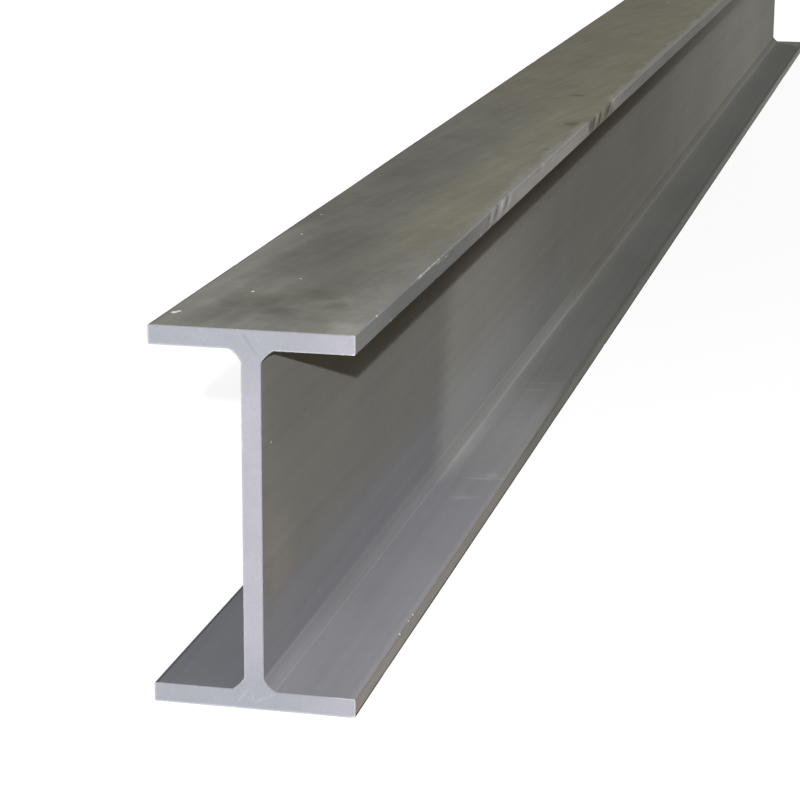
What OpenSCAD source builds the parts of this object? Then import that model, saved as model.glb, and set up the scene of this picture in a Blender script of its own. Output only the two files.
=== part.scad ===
// Steel I-beam: one full bar of hot-rolled structural stock, cut square at both ends.
// The bar lies along Y on its bottom flange, X runs across the flanges and Z is up.
// The origin is on the underside of the bottom flange, at mid length and mid width.

/* [Section] */
// Depth of the section over both flanges
section_depth = 200; // [140:1:300]
// Width of each flange, tip to tip
flange_width = 107; // [80:0.5:160]
// Thickness of each flange
flange_thickness = 10.2; // [7:0.1:16]
// Thickness of the web
web_thickness = 10.4; // [6:0.1:16]
// How far each root, where the web meets a flange, runs along both of them
root_leg = 6.5; // [4:0.5:14]
// Depth of the hollow in the face of each root
root_hollow = 0.6; // [0.2:0.1:1]
// Radius of the long edges along the flange tips
toe_radius = 0.6; // [0.2:0.1:2.5]

/* [Stock] */
// Length of the bar, saw cut to saw cut
bar_length = 3000; // [1000:100:12000]

/* [Hidden] */
$fn = 96;
steel_colour = [0.45, 0.44, 0.41];
web_depth = section_depth - 2 * flange_thickness;
flange_middle = (section_depth - flange_thickness) / 2;
root_chord = root_leg * sqrt(2);
root_sweep = (pow(root_chord / 2, 2) + pow(root_hollow, 2)) / (2 * root_hollow);
root_centre = (root_chord / 2 - root_hollow + root_sweep) / sqrt(2);
root_margin = 0.2; // how far a root's blank runs past its legs, for a clean cut

// Flat plate seen end on, with all four of its long edges rounded
module flange_outline() {
    square([flange_width - 2 * toe_radius, flange_thickness], center = true);
    square([flange_width, flange_thickness - 2 * toe_radius], center = true);
    for (side = [-1, 1], face = [-1, 1])
        translate([side * (flange_width / 2 - toe_radius), face * (flange_thickness / 2 - toe_radius)])
            circle(r = toe_radius);
}

// Fill in the corner at the origin, with a shallow hollow that faces +X and +Y
module root_outline() {
    difference() {
        square(root_leg + root_margin);
        translate([root_centre, root_centre])
            circle(r = root_sweep);
    }
}

// The four roots are mirror images of one another
module roots_outline() {
    for (side = [0, 1], face = [0, 1])
        mirror([side, 0])
            mirror([0, face])
                translate([web_thickness / 2, -web_depth / 2])
                    root_outline();
}

// Whole cross-section, centred on the middle of the web
module section_outline() {
    for (face = [-1, 1])
        translate([0, face * flange_middle])
            flange_outline();
    square([web_thickness, web_depth], center = true);
    roots_outline();
}

// The section rolled out along Y and stood on its bottom flange
module i_beam() {
    color(steel_colour)
        translate([0, 0, section_depth / 2])
            rotate([90, 0, 0])
                linear_extrude(height = bar_length, center = true)
                    section_outline();
}

i_beam();
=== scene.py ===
"""Rolled steel I-beam: the bar with its worn edges, stains and sawn ends, in a plain studio."""

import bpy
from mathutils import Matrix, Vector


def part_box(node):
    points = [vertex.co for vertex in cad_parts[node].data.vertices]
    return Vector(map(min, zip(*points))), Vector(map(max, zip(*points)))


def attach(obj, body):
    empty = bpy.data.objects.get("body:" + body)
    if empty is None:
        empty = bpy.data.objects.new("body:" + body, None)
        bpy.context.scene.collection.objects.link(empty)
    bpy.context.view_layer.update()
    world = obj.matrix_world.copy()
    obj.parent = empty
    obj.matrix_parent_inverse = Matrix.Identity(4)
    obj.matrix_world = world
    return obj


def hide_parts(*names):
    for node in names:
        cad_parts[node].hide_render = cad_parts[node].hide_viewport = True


bl_info = {
    "name": "Rolled Steel Beam",
    "version": (1, 0, 0),
    "blender": (4, 5, 0),
    "location": "View3D > Sidebar > Steel Beam",
    "description": "Models a rolled steel I-beam over its solid and lights it in a plain studio",
    "category": "Add Mesh",
}

import math
import random

import bmesh
import bpy
from bpy.props import FloatProperty, FloatVectorProperty, IntProperty, PointerProperty
from mathutils import Matrix, Vector, noise

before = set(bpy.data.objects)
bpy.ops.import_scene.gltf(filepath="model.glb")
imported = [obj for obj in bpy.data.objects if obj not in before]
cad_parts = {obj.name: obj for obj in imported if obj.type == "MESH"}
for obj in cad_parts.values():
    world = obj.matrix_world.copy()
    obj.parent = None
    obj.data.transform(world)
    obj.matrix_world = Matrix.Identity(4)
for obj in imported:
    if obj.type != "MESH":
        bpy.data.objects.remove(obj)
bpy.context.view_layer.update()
SOLID = "i_beam"

# Places of the steels in the bar's list of materials
OUTER_FACE, CHANNEL, TIP, SAWN, BURR = range(5)
# Cuts across the flats of the section: spacing on the top face and elsewhere, and number on a tip
TOP_PITCH, FLAT_PITCH, TIP_CUTS = 0.008, 0.016, 3
# Straight steps in the arc of a root and of a toe
ROOT_STEPS, TOE_STEPS = 6, 4
# How far from an edge its toe still reaches, and where the faces of a tip start, in toe radii
TOE_REACH, TIP_REACH = 1.01, 1.6
# Nicks on each long edge: number, shortest and longest half length, and weakest and strongest
NICKS, NICK_LENGTHS, NICK_STRENGTHS = 9, (0.004, 0.013), (0.3, 1.1)
# Wear of the long edges: growth of a toe's radius, and waves in a metre, of the broad and the fine wear
BROAD_WEAR, BROAD_WAVES = 0.9, 6.0
FINE_WEAR, FINE_WAVES = 0.15, 45.0
# How much more the top right edge is worn, and how far along that is reached
RIGHT_WEAR, RIGHT_WEAR_FROM = 0.9, 0.35
# Growth of a toe's radius that counts as fully worn
FULL_WEAR = 2.2
# How far the rim of a sawn end leans back, as a share of the burr's width
BURR_LEAN = 0.6
SHARP_ANGLE = math.radians(27)
SAME_PLACE = 1e-6
# Soft limits of the lower flange and the top flange by height, and of the right half by place across
LOW_FLANGE, TOP_FLANGE, RIGHT_HALF = (0.05, 0.04), (0.15, 0.16), (0.0, 0.01)
# Floor: half its size, its colours for soft light and under a shadow, its glow, and where it fades to white
FLOOR_REACH = 60.0
FLOOR_BOUNCE = (0.21, 0.18, 0.13)
FLOOR_SHADE = (0.355, 0.36, 0.38)
FLOOR_GLOW = 0.80
FLOOR_FADE = (1.9, 4.5)
WHITE = (1.0, 1.0, 1.0)
WARM_WHITE = (1.0, 0.93, 0.80)


def measured_section():
    """Reads the section's sizes off the solid's own vertices, in metres."""
    low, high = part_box(SOLID)
    points = [vertex.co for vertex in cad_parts[SOLID].data.vertices]
    lower = [point for point in points if point.z < (low.z + high.z) / 2]
    half_web = min(abs(point.x) for point in points)
    flange = max(point.z for point in lower if point.x > high.x / 2) - low.z
    root_top = max(point.z for point in lower) - low.z
    return {
        "length": high.y - low.y,
        "near_end": low.y,
        "width": high.x - low.x,
        "depth": high.z - low.z,
        "web": 2 * half_web,
        "flange": flange,
        "root": root_top - flange,
    }


SECTION = measured_section()
# Heights of the section's faces, and places across it, that marks and colours go by
TOP_FACE = SECTION["depth"]
TOP_INNER = SECTION["depth"] - SECTION["flange"]
LOW_INNER = SECTION["flange"]
ROOT_HEAD = SECTION["flange"] + SECTION["root"]
WEB_FACE = SECTION["web"] / 2
ROOT_FOOT = SECTION["web"] / 2 + SECTION["root"]
TIP_EDGE = SECTION["width"] / 2
TOE_ROUND = TIP_EDGE - 0.0002
TIP_FACE = TIP_EDGE - 0.0005

# Marks on the bar, in metres: across, along from the near end, height, reach each way, and turn in degrees
# Specks have one size in place of the reach and the turn
FLAT = (0, 0, 0)
TOP_DUST = (
    (0.050, 0.000, TOP_FACE, (0.034, 0.060, 1), FLAT),
    (0.052, 0.110, TOP_FACE, (0.034, 0.190, 1), FLAT),
    (0.000, 0.000, TOP_FACE, (0.075, 0.046, 1), FLAT),
)
TOP_BRIGHT = (
    (-0.024, 0.096, TOP_FACE, (0.026, 0.070, 1), FLAT),
    (0.024, 0.062, TOP_FACE, (0.022, 0.050, 1), FLAT),
)
TOP_WORN_DARK = (
    (-0.014, 0.205, TOP_FACE, (0.038, 0.130, 1), FLAT),
    (-0.034, 0.480, TOP_FACE, (0.044, 0.260, 1), FLAT),
)
TOP_STAINS = (
    (-0.019, 0.068, TOP_FACE, (0.024, 0.028, 1), FLAT),
    (0.015, 0.086, TOP_FACE, (0.022, 0.026, 1), FLAT),
    (0.000, 0.045, TOP_FACE, (0.018, 0.016, 1), FLAT),
    (0.027, 0.064, TOP_FACE, (0.017, 0.020, 1), FLAT),
)
# Brown rust in the dents, with painted shade on the near side of the farthest dent
TOP_RUST_AND_SHADE = (
    (0.0215, 0.893, TOP_FACE, (0.011, 0.011, 1), FLAT),
    (0.0420, 0.736, TOP_FACE, (0.013, 0.026, 1), FLAT),
    (0.0450, 0.604, TOP_FACE, (0.003, 0.006, 1), FLAT),
)
TOP_SPECKS = (
    (-0.0488, 0.0295, TOP_FACE, 0.0021),
    (-0.0473, 0.0325, TOP_FACE, 0.0015),
    (-0.024, 0.088, TOP_FACE, 0.0011),
    (-0.041, 0.251, TOP_FACE, 0.0009),
    (-0.046, 0.316, TOP_FACE, 0.0007),
    (-0.008, 0.126, TOP_FACE, 0.0007),
)
WEB_BLUSH = (
    (0.005, 0.022, 0.078, (0.02, 0.055, 0.034), FLAT),
)
WEB_SPECKS = (
    (WEB_FACE, 0.0175, 0.138, 0.0008),
)
FLANGE_SCUFFS = (
    (0.0425, 0.419, LOW_INNER, (0.010, 0.010, 0.004), (0, 0, 8)),
    (0.0400, 0.412, LOW_INNER, (0.017, 0.005, 0.004), (0, 0, 8)),
    (0.0360, 0.366, LOW_INNER, (0.012, 0.006, 0.004), (0, 0, 12)),
    (0.0320, 0.677, LOW_INNER, (0.024, 0.0026, 0.004), (0, 0, 8)),
    (0.0300, 0.655, LOW_INNER, (0.016, 0.0024, 0.004), (0, 0, 8)),
)
# Painted shade on the walls of the gouges that are turned away from the light
TIP_GOUGE_SHADE = (
    (TIP_FACE, 0.3440, 0.1960, (0.01, 0.0018, 0.0070), (-58, 0, 0)),
    (TIP_FACE, 0.3700, 0.1970, (0.01, 0.0026, 0.0110), (-65, 0, 0)),
    (TIP_FACE, 0.4040, 0.1972, (0.01, 0.0026, 0.0100), (-68, 0, 0)),
    (TIP_FACE, 0.7500, 0.1960, (0.01, 0.0022, 0.0120), (-66, 0, 0)),
    (TIP_FACE, 0.7720, 0.1955, (0.01, 0.0030, 0.0150), (-65, 0, 0)),
    (TIP_FACE, 0.8020, 0.1945, (0.01, 0.0030, 0.0150), (-62, 0, 0)),
    (TIP_FACE, 0.8480, 0.1960, (0.01, 0.0030, 0.0210), (-74, 0, 0)),
)
TIP_GLINTS = (
    (TOE_ROUND, 0.150, 0.1997, (0.0014, 0.0100, 0.0012), FLAT),
    (TOE_ROUND, 0.170, 0.1998, (0.0008, 0.0500, 0.0006), FLAT),
    (TOE_ROUND, 0.196, 0.1985, (0.0010, 0.0100, 0.0006), FLAT),
    (TOE_ROUND, 0.214, 0.1978, (0.0010, 0.0120, 0.0006), FLAT),
    (TOE_ROUND, 0.318, 0.1915, (0.0040, 0.0022, 0.0018), (-50, 0, 0)),
)
# Painted highlights on the walls of the gouges that face the light, in bare steel's colour
TIP_GOUGE_HIGHLIGHTS = (
    (TIP_FACE, 0.3545, 0.1958, (0.01, 0.0018, 0.0085), (-58, 0, 0)),
    (TIP_FACE, 0.3880, 0.1963, (0.01, 0.0022, 0.0120), (-66, 0, 0)),
    (TIP_FACE, 0.4140, 0.1950, (0.01, 0.0016, 0.0080), (-72, 0, 0)),
    (TIP_FACE, 0.5300, 0.1975, (0.01, 0.0018, 0.0080), (-66, 0, 0)),
    (TIP_FACE, 0.5480, 0.1985, (0.01, 0.0120, 0.0014), FLAT),
    (TIP_FACE, 0.5750, 0.1980, (0.01, 0.0018, 0.0090), (-70, 0, 0)),
    (TIP_FACE, 0.7860, 0.1965, (0.01, 0.0016, 0.0100), (-64, 0, 0)),
)
TIP_SPECKS = (
    (TOE_ROUND, 0.047, 0.1998, 0.0009),
    (TIP_EDGE, 0.077, 0.1905, 0.0009),
    (TOE_ROUND, 0.135, 0.0100, 0.0009),
    (TOE_ROUND, 0.124, 0.0100, 0.0007),
    (TOE_ROUND, 0.102, 0.0100, 0.0010),
)
SAW_TRACES = (
    (-0.0010, 0.0, 0.1930, (0.0014, 0.02, 0.0100), (0, -34, 0)),
)
SAW_SCRATCHES = (
    (0.0050, 0.0, 0.0060, (0.0012, 0.02, 0.0080), (0, 66, 0)),
    (-0.0060, 0.0, 0.0070, (0.0012, 0.02, 0.0090), (0, 40, 0)),
    (-0.0010, 0.0, 0.0055, (0.0010, 0.02, 0.0040), FLAT),
)
# Gouges across the top right flange tip: place along the top edge, half width, depth and lean
TIP_GOUGES = (
    (0.3560, 0.009, 0.0006, 1.6),
    (0.3864, 0.012, 0.0011, 2.1),
    (0.4164, 0.009, 0.0006, 2.1),
    (0.5380, 0.010, 0.0004, 2.0),
    (0.5830, 0.010, 0.0004, 2.0),
    (0.7834, 0.012, 0.0011, 2.1),
    (0.8160, 0.012, 0.0012, 1.8),
    (0.8680, 0.014, 0.0011, 3.5),
)
# Shallow dents in the top face: across, along, half width, half length and depth
TOP_DENTS = (
    (0.0215, 0.905, 0.012, 0.022, 0.0007),
    (0.0420, 0.738, 0.012, 0.020, 0.0008),
)


def length_prop(name, description, default, low=0.0):
    """A size in metres, shown in the scene's own units."""
    return FloatProperty(name=name, description=description, default=default, min=low, unit="LENGTH",
                         subtype="DISTANCE", precision=4)


def angle_prop(name, description, degrees):
    """An angle, written here in degrees and kept in radians."""
    return FloatProperty(name=name, description=description, default=math.radians(degrees), unit="ROTATION",
                         subtype="ANGLE")


def colour_prop(name, description, default):
    """A linear colour."""
    return FloatVectorProperty(name=name, description=description, default=default, size=3, min=0.0, max=1.0,
                               subtype="COLOR")


def level_prop(name, description, default):
    """Brightness of a lamp or of the sky."""
    return FloatProperty(name=name, description=description, default=default, min=0.0)


class BeamShape(bpy.types.PropertyGroup):
    """Sizes of the rolled bar and of its edges."""

    length: length_prop("Length", "Length of the bar, saw cut to saw cut", SECTION["length"], 0.1)
    width: length_prop("Flange width", "Width of both flanges", SECTION["width"], 0.01)
    depth: length_prop("Depth", "Depth of the section over both flanges", SECTION["depth"], 0.01)
    web: length_prop("Web thickness", "Thickness of the web", SECTION["web"], 0.001)
    flange: length_prop("Flange thickness", "Thickness of both flanges", SECTION["flange"], 0.001)
    root: length_prop("Root leg", "How far each root runs along web and flange", SECTION["root"], 0.001)
    root_hollow: length_prop("Root hollow", "Depth of the hollow in the face of each root", 0.0006, 0.0001)
    toe: length_prop("Toe radius", "Radius of an unworn flange edge", 0.0006, 0.0001)
    rim: length_prop("Saw burr", "Width of the bright burr round a sawn end", 0.00065, 0.0001)
    rings: IntProperty(name="Rings", description="Cuts along the bar", default=640, min=50, max=1200)
    fine_length: length_prop("Fine length", "Length from the near end that has the closer cuts", 1.05)
    fine_share: FloatProperty(name="Fine share", description="Share of the cuts in the fine length",
                              default=0.7, min=0.1, max=0.9, subtype="FACTOR")
    seed: IntProperty(name="Wear seed", description="Number that sets where the edges are worn",
                      default=7, min=0)


class BeamFinish(bpy.types.PropertyGroup):
    """Colours of the steel."""

    top_grey: colour_prop("Top grey", "Mill scale on the top face", (0.205, 0.204, 0.182))
    top_olive: colour_prop("Top olive", "Olive scale along the right of the top face", (0.252, 0.246, 0.200))
    top_brown: colour_prop("Top brown", "Browner scale further along the top face", (0.222, 0.215, 0.168))
    top_dust: colour_prop("Top dust", "Pale dust by the saw cut and the left edge", (0.300, 0.300, 0.278))
    top_dark: colour_prop("Top dark", "Oily middle of the top face", (0.172, 0.172, 0.155))
    top_stain: colour_prop("Top stain", "Oil stains on the top face", (0.135, 0.132, 0.112))
    # Brown of rust in dents, also used as painted shade on the near side of a dent
    rust_and_shade: colour_prop("Rust", "Brown marks in dents", (0.150, 0.130, 0.098))
    web_upper: colour_prop("Upper web", "Upper part of the web", (0.272, 0.275, 0.262))
    # The lower web's lavender is partly a painted reflection of the lower flange
    web_lower: colour_prop("Lower web", "Lower part of the web", (0.300, 0.303, 0.332))
    web_far: colour_prop("Web, further on", "Web away from the near end", (0.290, 0.288, 0.268))
    web_blush: colour_prop("Web blush", "Warm patch on the web by the near end", (0.350, 0.318, 0.305))
    root_near: colour_prop("Roots, near end", "Lower roots by the near end", (0.298, 0.296, 0.326))
    root: colour_prop("Roots", "Lower roots of the web", (0.252, 0.249, 0.266))
    root_end: colour_prop("Roots, end", "Lower roots at the middle of the bar", (0.182, 0.177, 0.174))
    low_flange: colour_prop("Lower flange", "Inner face of the lower flange", (0.355, 0.354, 0.388))
    low_flange_far: colour_prop("Lower flange, further on", "Lower flange away from the near end",
                                (0.237, 0.237, 0.250))
    low_flange_end: colour_prop("Lower flange, end", "Lower flange at the middle of the bar",
                                (0.203, 0.203, 0.208))
    low_flange_left: colour_prop("Lower flange, left", "Inner face of the lower flange, left",
                                 (0.215, 0.224, 0.250))
    low_tint: colour_prop("Lower tint", "Tint of the low inner faces further on", (0.985, 1.0, 0.935))
    tip: colour_prop("Flange tips", "Narrow faces along the top flange tips", (0.275, 0.288, 0.290))
    tip_worn: colour_prop("Worn tips", "Rubbed stretch of the top flange tips", (0.485, 0.480, 0.476))
    tip_rub: colour_prop("Rubbed edge", "Scale rubbed pale beside the top right edge", (0.312, 0.310, 0.300))
    low_tip: colour_prop("Lower tips", "Tips of the lower flange", (0.490, 0.470, 0.460))
    low_tip_far: colour_prop("Lower tips, further on", "Lower tips away from the near end",
                             (0.330, 0.330, 0.315))
    # Dark colour for painted shade in the gouges and along edges, and for a painted shadow at the bottom
    # edge
    gouge_and_edge_shade: colour_prop("Gouges", "Dark bottoms of gouges and edges", (0.095, 0.092, 0.080))
    sawn: colour_prop("Sawn ends", "Faces left by the saw", (0.336, 0.348, 0.398))
    sawn_pale: colour_prop("Sawn ends, pale", "Paler middle of the sawn faces", (0.395, 0.392, 0.450))
    bare: colour_prop("Bare steel", "Fresh steel at nicks and burrs", (0.68, 0.68, 0.68))
    grit: colour_prop("Grit", "Bright specks on the scale", (0.90, 0.90, 0.89))


class StudioSetup(bpy.types.PropertyGroup):
    """Camera, lamps and floor."""

    azimuth: angle_prop("Camera azimuth", "How far the camera stands to the right of the bar's line", 12.83)
    elevation: angle_prop("Camera elevation", "How far the camera looks down", 14.43)
    roll: angle_prop("Camera roll", "Turn of the picture about the line of sight", 0.25)
    lens: FloatProperty(name="Lens", description="Focal length on a 36 mm sensor", default=116.56,
                        unit="CAMERA")
    stand_right: length_prop("Camera to the right", "Camera's place across the bar", 0.3499)
    stand_back: length_prop("Camera distance", "Camera's place in front of the near end", 1.2023)
    stand_height: length_prop("Camera height", "Camera's place above the floor", 0.4861)
    key_level: level_prop("Key level", "Brightness of white that faces the key lamp", 1.30)
    strip_level: level_prop("Strip level", "Brightness of white that faces the strip lamp", 0.20)
    fill_level: level_prop("Fill level", "Brightness of white that faces the fill lamp", 0.40)
    side_level: level_prop("Side level", "Brightness of white that faces the side lamp", 0.40)
    back_level: level_prop("Back level", "Brightness of white that faces the back lamp", 0.80)
    sky_level: level_prop("Sky level", "Even light from all round", 0.15)


def add_node(tree, kind, inputs=None, **settings):
    """Adds a node, sets it up and links or fills its inputs."""
    node = tree.nodes.new(kind)
    for name, value in settings.items():
        setattr(node, name, value)
    for key, value in (inputs or {}).items():
        if isinstance(value, bpy.types.NodeSocket):
            tree.links.new(value, node.inputs[key])
        else:
            node.inputs[key].default_value = value
    return node


def own_place(tree):
    """The object's own coordinates."""
    return add_node(tree, "ShaderNodeTexCoord").outputs["Object"]


def place_on_bar(tree, scale=(1, 1, 1), turn=(0, 0, 0)):
    """The bar's own coordinates, stretched and turned for one pattern."""
    inputs = {"Vector": own_place(tree), "Rotation": turn, "Scale": scale}
    return add_node(tree, "ShaderNodeMapping", inputs).outputs["Vector"]


def place_about(tree, reach, turn, origin=(0, 0, 0)):
    """The bar's own coordinates about an origin, turned in degrees and counted in the reach each way."""
    inputs = {"Vector": own_place(tree), "Location": origin,
              "Rotation": tuple(math.radians(angle) for angle in turn), "Scale": reach}
    return add_node(tree, "ShaderNodeMapping", inputs, vector_type="TEXTURE").outputs["Vector"]


def cloud(tree, where, scale, detail=4.0, rough=0.55, twist=0.0):
    """Soft noise from 0 to 1."""
    inputs = {"Vector": where, "Scale": scale, "Detail": detail, "Roughness": rough, "Distortion": twist}
    return add_node(tree, "ShaderNodeTexNoise", inputs).outputs["Fac"]


def calc(tree, operation, first, second=0.0, third=0.0):
    """One sum."""
    inputs = {0: first, 1: second, 2: third}
    return add_node(tree, "ShaderNodeMath", inputs, operation=operation).outputs[0]


def length(tree, vector):
    """Length of a vector."""
    return add_node(tree, "ShaderNodeVectorMath", {0: vector}, operation="LENGTH").outputs["Value"]


def spread(tree, value, low, high, out_low=0.0, out_high=1.0, smooth=True):
    """Maps a value from one range to another, held at the ends."""
    inputs = {"Value": value, "From Min": low, "From Max": high, "To Min": out_low, "To Max": out_high}
    kind = "SMOOTHSTEP" if smooth else "LINEAR"
    return add_node(tree, "ShaderNodeMapRange", inputs, interpolation_type=kind).outputs["Result"]


def both(tree, first, second):
    """Where two masks overlap."""
    return calc(tree, "MULTIPLY", first, second)


def blend(tree, amount, first, second, mode="MIX"):
    """Mixes two colours."""
    node = add_node(tree, "ShaderNodeMix", data_type="RGBA", blend_type=mode)
    for index, value in ((0, amount), (6, first), (7, second)):
        if isinstance(value, bpy.types.NodeSocket):
            tree.links.new(value, node.inputs[index])
        else:
            node.inputs[index].default_value = (*value, 1.0) if index else value
    return node.outputs[2]


def shade(tree, colour, amount, low, high, start=0.25, stop=0.75):
    """Multiplies a colour by a factor that runs from low to high."""
    factor = spread(tree, amount, start, stop, low, high, smooth=False)
    grey = add_node(tree, "ShaderNodeCombineColor", {0: factor, 1: factor, 2: factor}).outputs[0]
    return blend(tree, 1.0, colour, grey, "MULTIPLY")


def tone(tree, colour, mask, factor):
    """Multiplies a colour by a factor where a mask is 1."""
    return shade(tree, colour, mask, 1.0, factor, 0.0, 1.0)


def vary(tree, colour, pattern, share):
    """Makes a colour darker and lighter by a share, after a pattern."""
    return shade(tree, colour, pattern, 1.0 - share, 1.0 + share)


def cover(tree, colour, mask, share, over):
    """Lays a share of another colour over a colour where a mask is 1."""
    return blend(tree, both(tree, mask, share), colour, over)


def band(tree, value, rise, fall):
    """1 between two soft limits of a value, 0 outside them."""
    return both(tree, spread(tree, value, *rise), spread(tree, value, *fall))


def axes(tree):
    """Across, along from the near end, and height, as three values."""
    split = add_node(tree, "ShaderNodeSeparateXYZ", {0: place_on_bar(tree)})
    along = calc(tree, "SUBTRACT", split.outputs["Y"], SECTION["near_end"])
    return split.outputs["X"], along, split.outputs["Z"]


def marks(tree, places, ragged=0.3, grain=120.0, core=0.0):
    """Soft marks about several places: 1 in their middles, 0 at their ragged rims."""
    rim = cloud(tree, place_on_bar(tree, scale=(1, 0.6, 1)), grain, 3.0)
    wobble = calc(tree, "MULTIPLY_ADD", rim, 4 * ragged, -2 * ragged)
    total = None
    for across, along, height, reach, turn in places:
        local = place_about(tree, reach, turn, (across, SECTION["near_end"] + along, height))
        mask = spread(tree, calc(tree, "ADD", length(tree, local), wobble), 1.0, core)
        total = mask if total is None else calc(tree, "MAXIMUM", total, mask)
    return total


def specks(tree, places):
    """Small hard specks of bright grit: placed ones by the near end, and sparse ones further on."""
    grains = [(x, y, z, (size, 1.4 * size, size), FLAT) for x, y, z, size in places]
    near = marks(tree, grains, 0.1, 900.0, 0.6)
    inputs = {"Vector": place_on_bar(tree, scale=(1, 0.6, 1)), "Scale": 13.0}
    cells = add_node(tree, "ShaderNodeTexVoronoi", inputs)
    dots = spread(tree, cells.outputs["Distance"], 0.014, 0.009)
    _, along, _ = axes(tree)
    return calc(tree, "MAXIMUM", near, both(tree, dots, spread(tree, along, 0.95, 1.05)))


def streaks(tree, reach, turn, detail=4.0, rough=0.6, twist=0.0):
    """Noise drawn out to the given reach each way, in metres, and turned in degrees."""
    return cloud(tree, place_about(tree, reach, turn), 1.0, detail, rough, twist)


def new_steel(name):
    """An empty steel material and its shader."""
    material = bpy.data.materials.new(name)
    material.use_nodes = True
    tree = material.node_tree
    shader = tree.nodes["Principled BSDF"]
    return material, tree, shader


def finish_steel(tree, shader, colour, roughness, relief, depth, gloss):
    """Links colour, roughness and relief to the shader."""
    bump = add_node(tree, "ShaderNodeBump", {"Height": relief, "Distance": depth, "Strength": 1.0})
    tree.links.new(colour, shader.inputs["Base Color"])
    tree.links.new(roughness, shader.inputs["Roughness"])
    tree.links.new(bump.outputs["Normal"], shader.inputs["Normal"])
    shader.inputs["Metallic"].default_value = 0.0
    shader.inputs["Specular IOR Level"].default_value = gloss


def mill_grain(tree):
    """Fine grain of hot-rolled scale."""
    fine = cloud(tree, place_on_bar(tree, scale=(1, 0.6, 1)), 900.0, 3.0)
    coarse = cloud(tree, place_on_bar(tree, scale=(1, 0.5, 1)), 160.0, 5.0, 0.6)
    return calc(tree, "MULTIPLY_ADD", fine, 0.5, calc(tree, "MULTIPLY", coarse, 0.5))


def edge_rub(tree):
    """Ragged scratches along a rubbed edge, the same on the faces either side of it."""
    return streaks(tree, (0.0045, 0.026, 0.0045), (20, 0, 12), 5.0, 0.65, 0.4)


def torn_stretch(tree, along):
    """Where gouges have torn the rubbed steel off the top right edge."""
    return band(tree, along, (0.735, 0.755), (0.880, 0.860))


def outer_face_steel(finish):
    """Top and bottom faces: olive scale with oil stains, wipe marks, a rubbed edge and specks of grit, with
    painted shade along the left edge and beside a dent.
    """
    material, tree, shader = new_steel("outer_face_steel")
    across, along, _ = axes(tree)
    olive = both(tree, spread(tree, across, -0.010, 0.030), spread(tree, along, 0.12, 0.32))
    colour = blend(tree, olive, finish.top_grey, finish.top_olive)
    colour = blend(tree, spread(tree, along, 0.60, 0.95, 0.0, 0.6), colour, finish.top_brown)
    dust = both(tree, spread(tree, across, -0.026, -0.046), spread(tree, along, 0.33, 0.20))
    dust = calc(tree, "MAXIMUM", dust, marks(tree, TOP_DUST, 0.25, 60.0))
    colour = cover(tree, colour, dust, 0.8, finish.top_dust)
    colour = cover(tree, colour, marks(tree, TOP_WORN_DARK, 0.3, 30.0), 0.75, finish.top_dark)
    colour = cover(tree, colour, marks(tree, TOP_STAINS, 0.35, 80.0), 0.6, finish.top_stain)
    colour = shade(tree, colour, marks(tree, TOP_BRIGHT, 0.25, 50.0), 1.0, 1.24, 0.0, 0.8)
    corner = both(tree, spread(tree, across, 0.026, 0.050), spread(tree, along, 0.070, 0.0))
    colour = tone(tree, colour, corner, 1.42)
    # Rust in the dents and painted shade on the near side of one
    colour = cover(tree, colour, marks(tree, TOP_RUST_AND_SHADE, 0.3, 160.0), 0.7, finish.rust_and_shade)
    mottle = cloud(tree, place_on_bar(tree, scale=(1, 0.45, 1)), 30.0, 6.0, 0.6, 0.5)
    colour = vary(tree, colour, mottle, 0.09)
    drawn = streaks(tree, (0.007, 0.130, 1.0), (0, 0, -7), 5.0, 0.62, 0.3)
    colour = vary(tree, colour, drawn, 0.09)
    scored = streaks(tree, (0.0016, 0.060, 1.0), (0, 0, -9), 3.0)
    colour = vary(tree, colour, scored, 0.04)
    wiped = streaks(tree, (0.030, 0.0035, 1.0), (0, 0, -6), 3.0)
    colour = vary(tree, colour, wiped, 0.045)
    patches = cloud(tree, place_on_bar(tree, scale=(0, 1, 0)), 15.0, 3.0)
    nearer = calc(tree, "ADD", across, spread(tree, patches, 0.36, 0.64, -0.0008, 0.0034))
    rub = calc(tree, "SUBTRACT", spread(tree, nearer, TIP_EDGE - 0.0130, TIP_EDGE - 0.0001), edge_rub(tree))
    rubbed = both(tree, spread(tree, rub, -0.06, 0.60), spread(tree, along, 0.20, 0.42))
    whole = calc(tree, "SUBTRACT", 1.0, torn_stretch(tree, along))
    colour = cover(tree, colour, both(tree, rubbed, whole), 0.8, finish.tip_rub)
    # Painted shade along the left edge of the top face, where the edge turns from the light
    top_left_edge_shade = spread(tree, across, 0.0018 - TIP_EDGE, 0.0008 - TIP_EDGE)
    colour = cover(tree, colour, top_left_edge_shade, 0.8, finish.gouge_and_edge_shade)
    grain = mill_grain(tree)
    colour = vary(tree, colour, grain, 0.07)
    colour = blend(tree, specks(tree, TOP_SPECKS), colour, finish.grit)
    roughness = spread(tree, mottle, 0.3, 0.7, 0.62, 0.46, smooth=False)
    finish_steel(tree, shader, colour, roughness, grain, 0.00006, 0.0)
    return material


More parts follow.
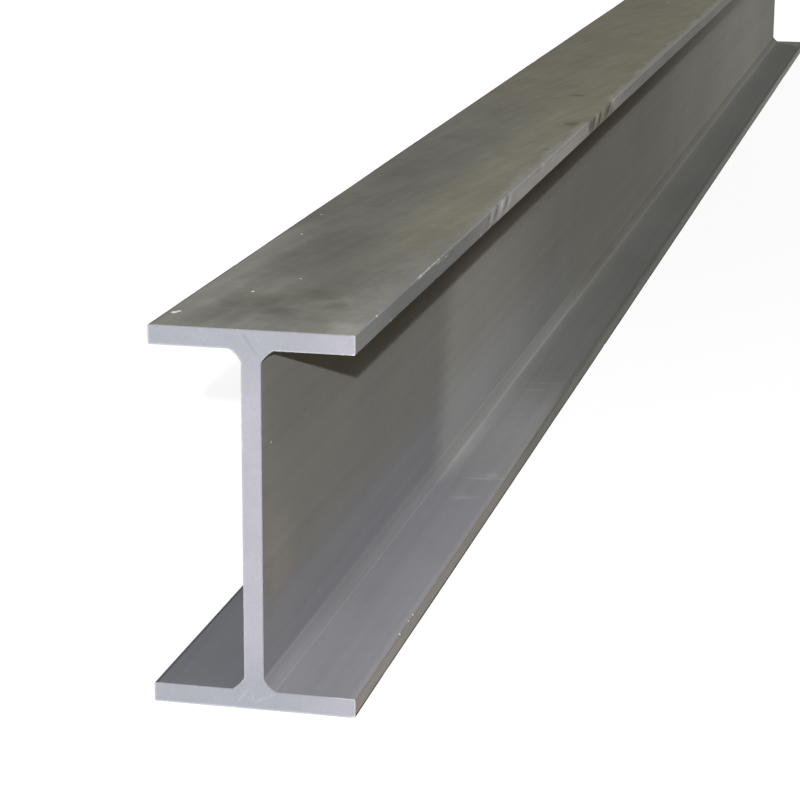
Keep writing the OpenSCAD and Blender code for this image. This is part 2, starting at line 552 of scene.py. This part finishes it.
def channel_steel(finish):
    """Web, roots and inner flange faces: smooth, cooler towards the bottom with a painted reflection, a
    painted sheen as a paler stretch, and painted highlights and shade.
    """
    material, tree, shader = new_steel("channel_steel")
    across, along, height = axes(tree)
    # Lower web lighter and cooler: its own colour with a painted reflection of the lower flange
    colour = blend(tree, spread(tree, height, 0.036, 0.078), finish.web_lower, finish.web_upper)
    colour = blend(tree, spread(tree, along, 0.75, 1.10, 0.0, 0.8), colour, finish.web_far)
    right = spread(tree, across, -0.001, 0.001)
    blush = both(tree, marks(tree, WEB_BLUSH, 0.3, 40.0), right)
    colour = cover(tree, colour, blush, 0.75, finish.web_blush)
    # Painted light: the upper web by the near end is made lighter, as where the key lamp reaches under the
    # top flange
    lit_wedge = both(tree, spread(tree, height, 0.105, 0.155), spread(tree, along, 0.40, 0.10))
    colour = tone(tree, colour, lit_wedge, 1.20)
    root = blend(tree, spread(tree, along, 0.06, 0.16), finish.root_near, finish.root)
    root = blend(tree, spread(tree, along, 0.85, 1.10), root, finish.root_end)
    # Painted highlight: the lower roots grow lighter towards the flange, and more so further along
    root = shade(tree, root, height, 1.10, 0.90, LOW_INNER + 0.0004, ROOT_HEAD - 0.0007)
    further = spread(tree, along, 0.38, 0.46)
    root = tone(tree, root, further, 1.15)
    colour = blend(tree, spread(tree, height, ROOT_HEAD + 0.0004, ROOT_HEAD - 0.0003), colour, root)
    right_flange = blend(tree, spread(tree, along, 0.53, 0.73), finish.low_flange, finish.low_flange_far)
    end_share = spread(tree, along, 0.75, 1.05, 0.0, 0.6)
    right_flange = blend(tree, end_share, right_flange, finish.low_flange_end)
    low_flange = blend(tree, spread(tree, across, -0.004, 0.004), finish.low_flange_left, right_flange)
    colour = blend(tree, spread(tree, height, LOW_INNER + 0.0007, LOW_INNER + 0.0001), colour, low_flange)
    on_flange = spread(tree, height, LOW_INNER + 0.0014, LOW_INNER + 0.0002)
    # Painted highlight: the lower flange is lighter beside the root, further along
    inner = both(tree, spread(tree, across, 0.036, 0.018), on_flange)
    colour = tone(tree, colour, both(tree, inner, spread(tree, along, 0.56, 0.66)), 1.12)
    dim = both(tree, spread(tree, across, 0.032, 0.023), spread(tree, along, 0.11, 0.17))
    dim = both(tree, both(tree, dim, on_flange), spread(tree, along, 0.50, 0.38, 0.4, 1.0))
    colour = tone(tree, colour, dim, 0.90)
    warm = both(tree, spread(tree, along, 0.34, 0.47), spread(tree, height, 0.060, 0.036))
    colour = blend(tree, warm, colour, finish.low_tint, "MULTIPLY")
    # Painted sheen: a paler stretch along the right of the web, in place of a soft reflection
    slant = calc(tree, "MULTIPLY_ADD", height, -0.3, along)
    pale = both(tree, spread(tree, slant, 0.390, 0.460), spread(tree, along, 0.92, 0.50))
    pale = both(tree, both(tree, pale, right), spread(tree, height, LOW_INNER + 0.0003, LOW_INNER + 0.0118))
    pale = both(tree, pale, spread(tree, height, 0.146, 0.122))
    colour = tone(tree, colour, pale, 1.36)
    # Painted highlight: a soft glow on the lower flange beside the root, further along
    reach = calc(tree, "ABSOLUTE", across)
    glow = both(tree, spread(tree, reach, ROOT_FOOT + 0.0088, ROOT_FOOT + 0.0003, smooth=False), on_flange)
    glow = both(tree, glow, both(tree, further, spread(tree, along, 0.58, 0.48, 0.5, 1.0)))
    colour = tone(tree, colour, glow, 1.28)
    # Painted highlight: a thin light line where the lower roots meet the web
    root_head_highlight = band(tree, height, (ROOT_HEAD - 0.0015, ROOT_HEAD - 0.0005),
                 (ROOT_HEAD + 0.0015, ROOT_HEAD + 0.0003))
    root_head_highlight = both(tree, root_head_highlight, spread(tree, reach, ROOT_FOOT - 0.0017, ROOT_FOOT - 0.0032))
    colour = tone(tree, colour, root_head_highlight, 1.12)
    # Painted highlight along the right lip of the lower flange by the near end, and painted shade along it
    # further on
    lip_highlight_and_shade = both(tree, spread(tree, across, TIP_EDGE - 0.0050, TIP_EDGE - 0.0013), on_flange)
    colour = tone(tree, colour, both(tree, lip_highlight_and_shade, spread(tree, along, 0.56, 0.42)), 1.14)
    colour = tone(tree, colour, both(tree, lip_highlight_and_shade, spread(tree, along, 0.56, 0.66)), 0.84)
    # Painted shade along the left lip of the lower flange
    left_lip_shade = both(tree, spread(tree, across, 0.0027 - TIP_EDGE, 0.0011 - TIP_EDGE), on_flange)
    colour = cover(tree, colour, left_lip_shade, 0.7, finish.gouge_and_edge_shade)
    scuffs = marks(tree, FLANGE_SCUFFS, 0.3, 150.0)
    colour = tone(tree, colour, scuffs, 1.25)
    streak = cloud(tree, place_on_bar(tree, scale=(90, 1.2, 90)), 1.6, 5.0, 0.6)
    colour = vary(tree, colour, streak, 0.06)
    mottle = cloud(tree, place_on_bar(tree, scale=(1, 0.4, 0.7)), 11.0, 5.0, 0.55, 0.3)
    colour = vary(tree, colour, mottle, 0.06)
    grain = mill_grain(tree)
    colour = vary(tree, colour, grain, 0.04)
    colour = blend(tree, specks(tree, WEB_SPECKS), colour, finish.grit)
    roughness = spread(tree, mottle, 0.3, 0.7, 0.55, 0.42, smooth=False)
    finish_steel(tree, shader, colour, roughness, grain, 0.00004, 0.0)
    return material


def tip_steel(finish):
    """Flange tips and their edges: paler, with marks across the tip, painted shade and highlights in the
    gouges and along the edges, and bare steel where it is worn.
    """
    material, tree, shader = new_steel("tip_steel")
    across, along, height = axes(tree)
    worn_stretch = band(tree, along, (0.22, 0.50), (1.10, 0.70, 0.35, 1.0))
    top_tip = blend(tree, worn_stretch, finish.tip, finish.tip_worn)
    top_tip = tone(tree, top_tip, spread(tree, along, 0.10, 0.0), 1.24)
    low_tip = blend(tree, spread(tree, along, 0.18, 0.60), finish.low_tip, finish.low_tip_far)
    colour = blend(tree, spread(tree, height, 0.05, 0.15), low_tip, top_tip)
    drawn = streaks(tree, (1.0, 0.060, 0.0013), (-1.5, 0, 0), 4.0, 0.65)
    colour = vary(tree, colour, drawn, 0.1)
    crossed = streaks(tree, (1.0, 0.0035, 0.016), (-62, 0, 0), 4.0, 0.65)
    colour = shade(tree, colour, both(tree, crossed, spread(tree, along, 0.22, 0.42)), 0.96, 1.12, 0.1, 0.8)
    mottle = cloud(tree, place_on_bar(tree, scale=(1, 0.5, 1)), 22.0, 4.0)
    colour = vary(tree, colour, mottle, 0.08)
    rub = calc(tree, "ADD", spread(tree, height, TOP_FACE - 0.0050, TOP_FACE - 0.0003), edge_rub(tree))
    scaled = both(tree, spread(tree, rub, 1.15, 1.60), spread(tree, along, 0.20, 0.36))
    scaled = both(tree, scaled, spread(tree, across, *RIGHT_HALF))
    colour = cover(tree, colour, scaled, 0.8, finish.tip_rub)
    torn = both(tree, torn_stretch(tree, along), spread(tree, across, *RIGHT_HALF))
    torn = both(tree, torn, spread(tree, height, *TOP_FLANGE))
    colour = cover(tree, colour, torn, 0.75, finish.top_brown)
    # Painted shade on the gouge walls turned away from the light
    gouge_shade = both(tree, marks(tree, TIP_GOUGE_SHADE, 0.25, 300.0), spread(tree, along, 0.60, 0.70, 0.62, 0.85))
    colour = blend(tree, gouge_shade, colour, finish.gouge_and_edge_shade)
    # Painted highlights on the gouge walls that face the light
    colour = cover(tree, colour, marks(tree, TIP_GOUGE_HIGHLIGHTS, 0.25, 300.0), 0.40, finish.bare)
    hem = band(tree, height, TOP_FLANGE, (TOP_INNER + 0.0014, TOP_INNER + 0.0004))
    colour = blend(tree, both(tree, hem, spread(tree, along, 0.30, 0.55, 0.16, 0.32)), colour, finish.bare)
    worn = add_node(tree, "ShaderNodeAttribute", attribute_name="worn").outputs["Fac"]
    broken = cloud(tree, place_on_bar(tree, scale=(1, 0.5, 1)), 330.0, 4.0, 0.7)
    bare = spread(tree, calc(tree, "MULTIPLY", worn, broken), 0.42, 0.75, 0.0, 0.6)
    colour = blend(tree, bare, colour, finish.bare)
    colour = cover(tree, colour, marks(tree, TIP_GLINTS, 0.35, 400.0), 0.9, finish.bare)
    # Painted shade along the upper edge of the lower tips, deeper further along
    low_toe_shade = band(tree, height, (LOW_INNER - 0.0018, LOW_INNER - 0.0008), LOW_FLANGE)
    colour = tone(tree, colour, low_toe_shade, 0.80)
    far_toe_shade = both(tree, low_toe_shade, spread(tree, along, 0.36, 0.56))
    colour = tone(tree, colour, far_toe_shade, 0.76)
    # Painted shadow along the bottom edge of the lower tips
    sole = spread(tree, height, 0.0022, 0.0012)
    colour = cover(tree, colour, sole, 0.9, finish.gouge_and_edge_shade)
    upper_edge = spread(tree, height, TOP_FACE - 0.0025, TOP_FACE - 0.0010)
    lower_edge = band(tree, height, (LOW_INNER - 0.0020, LOW_INNER - 0.0010), LOW_FLANGE)
    edges = calc(tree, "MAXIMUM", upper_edge, lower_edge)
    # Painted shade along the upper edges of the left tips, where they turn from the light
    tip_left_edge_shade = both(tree, spread(tree, across, 0.0035 - TIP_EDGE, 0.0015 - TIP_EDGE), edges)
    colour = cover(tree, colour, tip_left_edge_shade, 0.85, finish.gouge_and_edge_shade)
    colour = blend(tree, specks(tree, TIP_SPECKS), colour, finish.grit)
    grain = mill_grain(tree)
    relief = calc(tree, "MULTIPLY_ADD", drawn, 0.7, calc(tree, "MULTIPLY", grain, 0.5))
    roughness = spread(tree, drawn, 0.3, 0.7, 0.60, 0.42, smooth=False)
    finish_steel(tree, shader, colour, roughness, relief, 0.00010, 0.0)
    return material


def sawn_steel(finish):
    """Sawn end: pale lavender grey with faint saw strokes."""
    material, tree, shader = new_steel("sawn_steel")
    across, _, height = axes(tree)
    middle = band(tree, height, (0.010, 0.040), (0.192, 0.165))
    pale = calc(tree, "MAXIMUM", middle, spread(tree, across, 0.020, 0.050, 0.0, 0.7))
    colour = blend(tree, pale, finish.sawn, finish.sawn_pale)
    waves = {"Vector": place_on_bar(tree, scale=(1, 0, 1), turn=(0, math.radians(20), 0)), "Scale": 120.0,
             "Distortion": 2.0, "Detail": 3.0, "Detail Scale": 1.5}
    strokes = add_node(tree, "ShaderNodeTexWave", waves, wave_type="BANDS", bands_direction="X")
    strokes = strokes.outputs["Fac"]
    mottle = cloud(tree, place_on_bar(tree), 60.0, 5.0, 0.6)
    colour = vary(tree, colour, mottle, 0.05)
    colour = vary(tree, colour, strokes, 0.005)
    fine = cloud(tree, place_on_bar(tree), 1100.0, 3.0)
    colour = vary(tree, colour, fine, 0.06)
    colour = tone(tree, colour, marks(tree, SAW_TRACES, 0.15, 200.0), 0.86)
    colour = tone(tree, colour, marks(tree, SAW_SCRATCHES, 0.25, 300.0), 1.14)
    roughness = spread(tree, fine, 0.3, 0.7, 0.60, 0.45, smooth=False)
    relief = calc(tree, "MULTIPLY_ADD", strokes, 0.5, calc(tree, "MULTIPLY", fine, 0.5))
    finish_steel(tree, shader, colour, roughness, relief, 0.00002, 0.2)
    return material


def burr_steel(finish):
    """Burr round a sawn end: bright steel at the right of both flanges and in patches elsewhere."""
    material, tree, shader = new_steel("burr_steel")
    across, _, height = axes(tree)
    broken = cloud(tree, place_on_bar(tree), 120.0, 4.0, 0.65)
    bright = spread(tree, across, TIP_EDGE - 0.0040, TIP_EDGE - 0.0005)
    inner_edge = band(tree, height, (LOW_INNER - 0.0017, LOW_INNER - 0.0007), LOW_FLANGE)
    low_bright = both(tree, spread(tree, across, 0.036, 0.044), inner_edge)
    bright = calc(tree, "MAXIMUM", bright, low_bright)
    amount = calc(tree, "MAXIMUM", both(tree, bright, 0.9), spread(tree, broken, 0.55, 0.7, 0.18, 0.6))
    colour = blend(tree, amount, finish.sawn, finish.bare)
    roughness = spread(tree, broken, 0.3, 0.7, 0.5, 0.35, smooth=False)
    finish_steel(tree, shader, colour, roughness, broken, 0.00005, 0.2)
    return material


def round_corners(bm, corners, radius, segments):
    """Rounds corners of a flat outline to true arcs."""
    bmesh.ops.bevel(bm, geom=corners, offset=radius, offset_type="OFFSET", segments=segments, profile=0.5,
                    affect="VERTICES", material=-1, clamp_overlap=False)


def section_outline(bm, shape):
    """Draws the section at the near end: a quarter of it, mirrored twice, with round toes."""
    near, half, inner, rise = SECTION["near_end"], shape.width / 2, shape.web / 2, shape.depth / 2
    half_chord = shape.root / math.sqrt(2)
    sweep = (half_chord ** 2 + shape.root_hollow ** 2) / (2 * shape.root_hollow)
    clear = (half_chord - shape.root_hollow + sweep) / math.sqrt(2)
    sole = bm.verts.new((0.0, near, -rise))
    low_toe = bm.verts.new((half, near, -rise))
    high_toe = bm.verts.new((half, near, shape.flange - rise))
    foot = bm.verts.new((inner + shape.root, near, shape.flange - rise))
    waist = bm.verts.new((inner, near, 0.0))
    hub = (inner + clear, near, shape.flange + clear - rise)
    root = bmesh.ops.spin(bm, geom=[foot], cent=hub, axis=(0, 1, 0),
                          angle=2 * math.asin(half_chord / sweep), steps=ROOT_STEPS)
    head = next(item for item in root["geom_last"] if isinstance(item, bmesh.types.BMVert))
    for ends in ((sole, low_toe), (low_toe, high_toe), (high_toe, foot), (head, waist)):
        bm.edges.new(ends)
    for axis in ("X", "Z"):
        bmesh.ops.mirror(bm, geom=bm.verts[:] + bm.edges[:], matrix=Matrix.Identity(4),
                         merge_dist=SAME_PLACE, axis=axis)
    bmesh.ops.translate(bm, verts=bm.verts[:], vec=(0.0, 0.0, rise))
    bmesh.ops.edgeloop_fill(bm, edges=bm.edges[:])
    toes = [vert for vert in bm.verts if abs(vert.co.x) > half - shape.toe]
    round_corners(bm, toes, shape.toe, TOE_STEPS)


def cut_flats(bm, shape):
    """Adds cuts across the flats, closest on the top face and the tips."""
    for edge in list(bm.edges):
        size = edge.calc_length()
        middle = (edge.verts[0].co + edge.verts[1].co) / 2
        if size < 2 * shape.toe:
            continue
        if size < shape.flange:
            cuts = TIP_CUTS if abs(middle.x) > shape.width / 4 else 0
        else:
            pitch = TOP_PITCH if middle.z > shape.depth - shape.flange / 2 else FLAT_PITCH
            cuts = max(round(size / pitch) - 1, 2)
        if cuts:
            bmesh.ops.subdivide_edges(bm, edges=[edge], cuts=cuts)


def roll_out(bm, shape):
    """Extrudes the section along the bar and cuts it into rings, closer together near the front."""
    grown = bmesh.ops.extrude_face_region(bm, geom=list(bm.faces))["geom"]
    moved = [item for item in grown if isinstance(item, bmesh.types.BMVert)]
    bmesh.ops.translate(bm, verts=moved, vec=(0.0, shape.length, 0.0))
    long_edges = [edge for edge in bm.edges if edge.calc_length() > shape.length / 2]
    bmesh.ops.subdivide_edges(bm, edges=long_edges, cuts=shape.rings, use_grid_fill=True)
    for vert in bm.verts:
        share = (vert.co.y - SECTION["near_end"]) / shape.length
        if share < shape.fine_share:
            along = share / shape.fine_share * shape.fine_length
        else:
            rest = (share - shape.fine_share) / (1 - shape.fine_share)
            along = shape.fine_length + rest * (shape.length - shape.fine_length)
        vert.co.y = SECTION["near_end"] + along


def gouge_depth(along, below_top):
    """Depth of the gouges across the top right tip at one place."""
    depth = 0.0
    for place, half_width, deepest, lean in TIP_GOUGES:
        offset = (along - place + lean * below_top) / half_width
        if abs(offset) < 1.0:
            depth = max(depth, deepest * (1.0 - offset * offset))
    return depth


def random_nicks(shape):
    """Seeded nicks for each long edge: place along, half length and strength."""
    draw = random.Random(shape.seed)
    nicks = {}
    for side in (1, -1):
        for flange in ("top", "low"):
            for face in ("outer", "inner"):
                nicks[side, flange, face] = [
                    (draw.uniform(0.0, shape.length), draw.uniform(*NICK_LENGTHS),
                     draw.uniform(*NICK_STRENGTHS))
                    for _ in range(NICKS)
                ]
    return nicks


def toe_growth(edge, along, nicks):
    """How many times its unworn radius a flange edge has at one place."""
    side, flange, face = edge
    # Each edge has a line of its own through the noise
    lane = 11.0 * side + (5.0 if flange == "top" else 0.0) + (2.0 if face == "outer" else 0.0)
    worn = BROAD_WEAR * max(0.0, noise.noise((along * BROAD_WAVES, lane, 0.0)) + 0.15)
    worn += FINE_WEAR * max(0.0, noise.noise((along * FINE_WAVES, lane, 4.0)))
    if edge == (1, "top", "outer"):
        worn += RIGHT_WEAR * min(along / RIGHT_WEAR_FROM, 1.0)
    for place, reach, strength in nicks[edge]:
        offset = (along - place) / reach
        if abs(offset) < 1.0:
            worn += strength * (1.0 - offset * offset)
    return 1.0 + worn


def wear_edges(bm, shape):
    """Rounds, nicks and shears the flange edges, and dents the top face."""
    layer = bm.verts.layers.float.new("worn")
    nicks = random_nicks(shape)
    half = shape.width / 2
    for vert in bm.verts:
        along = vert.co.y - SECTION["near_end"]
        side = 1 if vert.co.x > 0 else -1
        flange = "top" if vert.co.z > shape.depth / 2 else "low"
        base = shape.depth - shape.flange if flange == "top" else 0.0
        up = (vert.co.z - base) / shape.flange
        if abs(vert.co.x) > half - TOE_REACH * shape.toe:
            high = up > 0.5
            face = "outer" if high == (flange == "top") else "inner"
            edge_z = base + shape.flange if high else base
            growth = toe_growth((side, flange, face), along, nicks)
            in_toe = abs(vert.co.z - edge_z) < TOE_REACH * shape.toe
            if in_toe:
                vert.co.x = side * half + (vert.co.x - side * half) * growth
                vert.co.z = edge_z + (vert.co.z - edge_z) * growth
                vert[layer] = min((growth - 1.0) / FULL_WEAR, 1.0)
            if side > 0 and flange == "top":
                depth = gouge_depth(along, shape.depth - vert.co.z)
                vert.co.x -= depth * max(0.0, min(up, 1.0)) ** 0.7
                if in_toe and high:
                    vert.co.z -= 0.5 * depth
        elif vert.co.z > shape.depth - SAME_PLACE:
            for across, place, half_width, half_length, depth in TOP_DENTS:
                offset = ((vert.co.x - across) / half_width) ** 2 + ((along - place) / half_length) ** 2
                if offset < 1.0:
                    vert.co.z -= depth * (1.0 - offset) ** 2


def saw_ends(bm, shape):
    """Insets both ends and leans the rims back, which leaves a narrow burr round each sawn face."""
    for end, inward in ((SECTION["near_end"], 1), (SECTION["near_end"] + shape.length, -1)):
        cap = [face for face in bm.faces if all(abs(vert.co.y - end) < SAME_PLACE for vert in face.verts)]
        outer = {vert for face in cap for vert in face.verts}
        rim = bmesh.ops.inset_region(bm, faces=cap, thickness=shape.rim, use_even_offset=True)["faces"]
        for face in cap:
            face.material_index = SAWN
        for face in rim:
            face.material_index = BURR
        for vert in outer:
            vert.co.y += inward * BURR_LEAN * shape.rim


def name_faces(bm, shape):
    """Gives each long face its steel: outer faces, the channels between the flanges, or the tips."""
    for face in bm.faces:
        centre = face.calc_center_median()
        if abs(centre.x) > shape.width / 2 - TIP_REACH * shape.toe:
            face.material_index = TIP
        elif centre.z < 0.5 * shape.flange or centre.z > shape.depth - 0.5 * shape.flange:
            face.material_index = OUTER_FACE
        else:
            face.material_index = CHANNEL


class BEAM_OT_roll_bar(bpy.types.Operator):
    """Models the rolled bar over its solid, with worn edges and sawn ends"""

    bl_idname = "beam.roll_bar"
    bl_label = "Roll the bar"
    bl_options = {"REGISTER", "UNDO"}

    def execute(self, context):
        shape, finish = context.scene.beam_shape, context.scene.beam_finish
        bm = bmesh.new()
        section_outline(bm, shape)
        cut_flats(bm, shape)
        roll_out(bm, shape)
        name_faces(bm, shape)
        wear_edges(bm, shape)
        saw_ends(bm, shape)
        bmesh.ops.recalc_face_normals(bm, faces=list(bm.faces))
        mesh = bpy.data.meshes.new("rolled_bar")
        bm.to_mesh(mesh)
        bm.free()
        for steel in (outer_face_steel, channel_steel, tip_steel, sawn_steel, burr_steel):
            mesh.materials.append(steel(finish))
        mesh.polygons.foreach_set("use_smooth", [True] * len(mesh.polygons))
        mesh.set_sharp_from_angle(angle=SHARP_ANGLE)
        bar = bpy.data.objects.new("rolled_bar", mesh)
        context.scene.collection.objects.link(bar)
        bar.modifiers.new("even_shading", "WEIGHTED_NORMAL").keep_sharp = True
        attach(bar, "root")
        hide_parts(SOLID)
        return {"FINISHED"}


def seen_directly(tree):
    """1 for rays from the camera, from gloss and through glass, 0 for rays that carry soft light."""
    path = add_node(tree, "ShaderNodeLightPath")
    seen = calc(tree, "MAXIMUM", path.outputs["Is Camera Ray"], path.outputs["Is Glossy Ray"])
    return calc(tree, "MAXIMUM", seen, path.outputs["Is Transmission Ray"])


def floor_paint():
    """Pale floor that shows white and keeps a soft shadow."""
    material = bpy.data.materials.new("studio_floor")
    material.use_nodes = True
    tree = material.node_tree
    tree.nodes.clear()
    dim = add_node(tree, "ShaderNodeBsdfDiffuse", {"Color": (*FLOOR_BOUNCE, 1.0)})
    shadowed = add_node(tree, "ShaderNodeBsdfDiffuse", {"Color": (*FLOOR_SHADE, 1.0)})
    glow = add_node(tree, "ShaderNodeEmission", {"Color": (*WHITE, 1.0), "Strength": FLOOR_GLOW})
    white = add_node(tree, "ShaderNodeAddShader", {0: shadowed.outputs[0], 1: glow.outputs[0]})
    plain = add_node(tree, "ShaderNodeEmission", {"Color": (*WHITE, 1.0), "Strength": 1.0})
    far = spread(tree, length(tree, own_place(tree)), *FLOOR_FADE)
    white = add_node(tree, "ShaderNodeMixShader", {0: far, 1: white.outputs[0], 2: plain.outputs[0]})
    seen = seen_directly(tree)
    mixed = add_node(tree, "ShaderNodeMixShader", {0: seen, 1: dim.outputs[0], 2: white.outputs[0]})
    add_node(tree, "ShaderNodeOutputMaterial", {"Surface": mixed.outputs[0]})
    return material


def white_sky(scene, level):
    """World that shows white and lights the bar softly."""
    world = bpy.data.worlds.new("studio_sky")
    world.use_nodes = True
    tree = world.node_tree
    background = tree.nodes["Background"]
    seen = seen_directly(tree)
    tree.links.new(blend(tree, seen, WARM_WHITE, WHITE), background.inputs["Color"])
    tree.links.new(spread(tree, seen, 0.0, 1.0, level, 1.0, smooth=False), background.inputs["Strength"])
    scene.world = world


def add_lamp(scene, name, place, target, size, level, strip=0.0, cone=180.0):
    """A round lamp, or a strip along the bar, that makes white at the target render at the given level."""
    lamp = bpy.data.lights.new(name, "AREA")
    lamp.shape = "RECTANGLE" if strip else "DISK"
    lamp.size = strip or size
    lamp.size_y = size
    reach = target - place
    lamp.energy = level * math.pi ** 2 * reach.length_squared
    if cone < 180.0:
        lamp.spread = math.radians(cone)
        slope = math.tan(lamp.spread / 2)
        lamp.energy *= (slope - lamp.spread / 2) / slope
    holder = bpy.data.objects.new(name, lamp)
    holder.location = place
    holder.rotation_mode = "QUATERNION"
    holder.rotation_quaternion = reach.to_track_quat("-Z", "Y")
    scene.collection.objects.link(holder)


def add_camera(scene, setup):
    """Camera in front of the near end, looking along the bar."""
    data = bpy.data.cameras.new("camera")
    data.sensor_width = 36.0
    data.lens = setup.lens
    data.clip_start, data.clip_end = 0.05, 200.0
    back = Vector((math.sin(setup.azimuth) * math.cos(setup.elevation),
                   -math.cos(setup.azimuth) * math.cos(setup.elevation), math.sin(setup.elevation)))
    facing = back.to_track_quat("Z", "Y").to_matrix() @ Matrix.Rotation(setup.roll, 3, "Z")
    camera = bpy.data.objects.new("camera", data)
    camera.rotation_mode = "QUATERNION"
    camera.rotation_quaternion = facing.to_quaternion()
    camera.location = (setup.stand_right, SECTION["near_end"] - setup.stand_back, setup.stand_height)
    scene.collection.objects.link(camera)
    scene.camera = camera


class BEAM_OT_set_stage(bpy.types.Operator):
    """Sets the floor, lamps, sky and camera"""

    bl_idname = "beam.set_stage"
    bl_label = "Set the stage"
    bl_options = {"REGISTER", "UNDO"}

    def execute(self, context):
        scene, setup = context.scene, context.scene.studio_setup
        bm = bmesh.new()
        bmesh.ops.create_grid(bm, x_segments=1, y_segments=1, size=FLOOR_REACH)
        mesh = bpy.data.meshes.new("floor")
        bm.to_mesh(mesh)
        bm.free()
        mesh.materials.append(floor_paint())
        floor = bpy.data.objects.new("floor", mesh)
        scene.collection.objects.link(floor)
        white_sky(scene, setup.sky_level)
        near_tip = Vector((0.05, SECTION["near_end"], 0.19))
        near_half, middle = Vector((0.0, -0.8, 0.1)), Vector((0.0, 0.0, 0.1))
        far_half, far_end = Vector((0.0, 1.1, 0.1)), Vector((0.0, 1.3, 0.1))
        key_place = near_tip + 4.5 * Vector((0.224, -0.931, 0.290))
        strip_place = near_half + 4.0 * Vector((0.61, 0.0, 0.79))
        fill_place = Vector((-3.0, 0.6, 2.0))
        side_place = Vector((2.8, 1.6, 1.0))
        back_place = Vector((-1.6, 4.1, 1.0))
        add_lamp(scene, "key_lamp", key_place, near_tip, 0.05, setup.key_level)
        add_lamp(scene, "strip_lamp", strip_place, near_half, 0.70, setup.strip_level, strip=4.4)
        add_lamp(scene, "fill_lamp", fill_place, middle, 2.5, setup.fill_level)
        add_lamp(scene, "side_lamp", side_place, far_half, 0.8, setup.side_level, cone=46.0)
        add_lamp(scene, "back_lamp", back_place, far_end, 0.8, setup.back_level, cone=36.0)
        add_camera(scene, setup)
        scene.view_settings.view_transform = "Standard"
        return {"FINISHED"}


class VIEW3D_PT_steel_beam(bpy.types.Panel):
    """Sizes, colours and studio of the steel beam"""

    bl_label = "Steel Beam"
    bl_space_type = "VIEW_3D"
    bl_region_type = "UI"
    bl_category = "Steel Beam"

    def draw(self, context):
        scene = context.scene
        for group, operator in ((scene.beam_shape, BEAM_OT_roll_bar), (scene.beam_finish, None),
                                (scene.studio_setup, BEAM_OT_set_stage)):
            box = self.layout.box()
            for name in group.__annotations__:
                box.prop(group, name)
            if operator:
                box.operator(operator.bl_idname)


CLASSES = (BeamShape, BeamFinish, StudioSetup, BEAM_OT_roll_bar, BEAM_OT_set_stage, VIEW3D_PT_steel_beam)


def register():
    """Adds the classes and their settings to Blender."""
    for cls in CLASSES:
        bpy.utils.register_class(cls)
    bpy.types.Scene.beam_shape = PointerProperty(type=BeamShape)
    bpy.types.Scene.beam_finish = PointerProperty(type=BeamFinish)
    bpy.types.Scene.studio_setup = PointerProperty(type=StudioSetup)


def unregister():
    """Takes the settings and classes away again."""
    for name in ("beam_shape", "beam_finish", "studio_setup"):
        delattr(bpy.types.Scene, name)
    for cls in reversed(CLASSES):
        bpy.utils.unregister_class(cls)


def main():
    register()
    bpy.ops.beam.roll_bar()
    bpy.ops.beam.set_stage()


if __name__ == "__main__":
    main()
